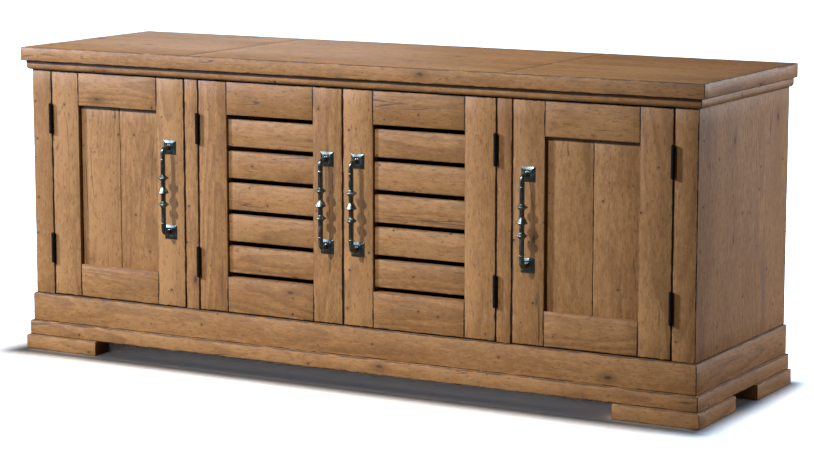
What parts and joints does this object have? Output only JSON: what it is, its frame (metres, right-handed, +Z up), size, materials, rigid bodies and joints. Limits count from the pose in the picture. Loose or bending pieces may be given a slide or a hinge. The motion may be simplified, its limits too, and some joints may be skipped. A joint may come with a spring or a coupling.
{
  "type": "tv stand with doors",
  "caption": "Low rustic wooden media cabinet with framed panel doors outside, louvred doors in the middle, forged iron bar pulls and a stepped plinth on block feet.",
  "frame": {"origin": "on the floor at the centre of the footprint that the cabinet and its pulls cover together", "axes": "+X to the viewer's right along the front, +Y from the doors to the back, +Z up"},
  "size_m": [1.836, 0.5806, 0.762],
  "materials": {
    "show_wood": "satin",
    "panel_wood": "satin",
    "inside_wood": "matte",
    "dark_iron": "satin"
  },
  "bodies": {
    "root": {"top_board_left": "show_wood", "top_board_center": "show_wood", "top_board_right": "show_wood", "cornice_board": "show_wood", "side_panel_left": "show_wood", "side_panel_right": "show_wood", "face_stile_left": "show_wood", "face_stile_right": "show_wood", "partition_left": "show_wood", "partition_right": "show_wood", "bottom_board": "inside_wood", "back_panel": "inside_wood", "shelf_left": "inside_wood", "shelf_center": "inside_wood", "shelf_right": "inside_wood", "plinth": "show_wood", "foot_front_left": "show_wood", "foot_front_right": "show_wood", "foot_rear_left": "show_wood", "foot_rear_right": "show_wood"},
    "left_door": {"left_door_hinge_stile": "show_wood", "left_door_lock_stile": "show_wood", "left_door_top_rail": "show_wood", "left_door_bottom_rail": "show_wood", "left_door_panel": "panel_wood", "left_door_hinge_upper": "dark_iron", "left_door_hinge_lower": "dark_iron", "left_door_pull": "dark_iron"},
    "center_left_door": {"center_left_door_hinge_stile": "show_wood", "center_left_door_lock_stile": "show_wood", "center_left_door_top_rail": "show_wood", "center_left_door_bottom_rail": "show_wood", "center_left_door_slat_1": "show_wood", "center_left_door_slat_2": "show_wood", "center_left_door_slat_3": "show_wood", "center_left_door_slat_4": "show_wood", "center_left_door_slat_5": "show_wood", "center_left_door_hinge_upper": "dark_iron", "center_left_door_hinge_lower": "dark_iron", "center_left_door_pull": "dark_iron"},
    "center_right_door": {"center_right_door_hinge_stile": "show_wood", "center_right_door_lock_stile": "show_wood", "center_right_door_top_rail": "show_wood", "center_right_door_bottom_rail": "show_wood", "center_right_door_slat_1": "show_wood", "center_right_door_slat_2": "show_wood", "center_right_door_slat_3": "show_wood", "center_right_door_slat_4": "show_wood", "center_right_door_slat_5": "show_wood", "center_right_door_hinge_upper": "dark_iron", "center_right_door_hinge_lower": "dark_iron", "center_right_door_pull": "dark_iron"},
    "right_door": {"right_door_hinge_stile": "show_wood", "right_door_lock_stile": "show_wood", "right_door_top_rail": "show_wood", "right_door_bottom_rail": "show_wood", "right_door_panel": "panel_wood", "right_door_hinge_upper": "dark_iron", "right_door_hinge_lower": "dark_iron", "right_door_pull": "dark_iron"}
  },
  "joints": [
    {"name": "left_door_hinge", "type": "hinge", "parent": "root", "child": "left_door", "pos_m": [-0.83975, -0.24695, 0.424], "axis": [0, 0, -1], "range_deg": [0, 110]},
    {"name": "center_left_door_hinge", "type": "hinge", "parent": "root", "child": "center_left_door", "pos_m": [-0.40425, -0.24695, 0.424], "axis": [0, 0, -1], "range_deg": [0, 110]},
    {"name": "center_right_door_hinge", "type": "hinge", "parent": "root", "child": "center_right_door", "pos_m": [0.40425, -0.24695, 0.424], "axis": [0, 0, 1], "range_deg": [0, 110]},
    {"name": "right_door_hinge", "type": "hinge", "parent": "root", "child": "right_door", "pos_m": [0.83975, -0.24695, 0.424], "axis": [0, 0, 1], "range_deg": [0, 110]}
  ]
}
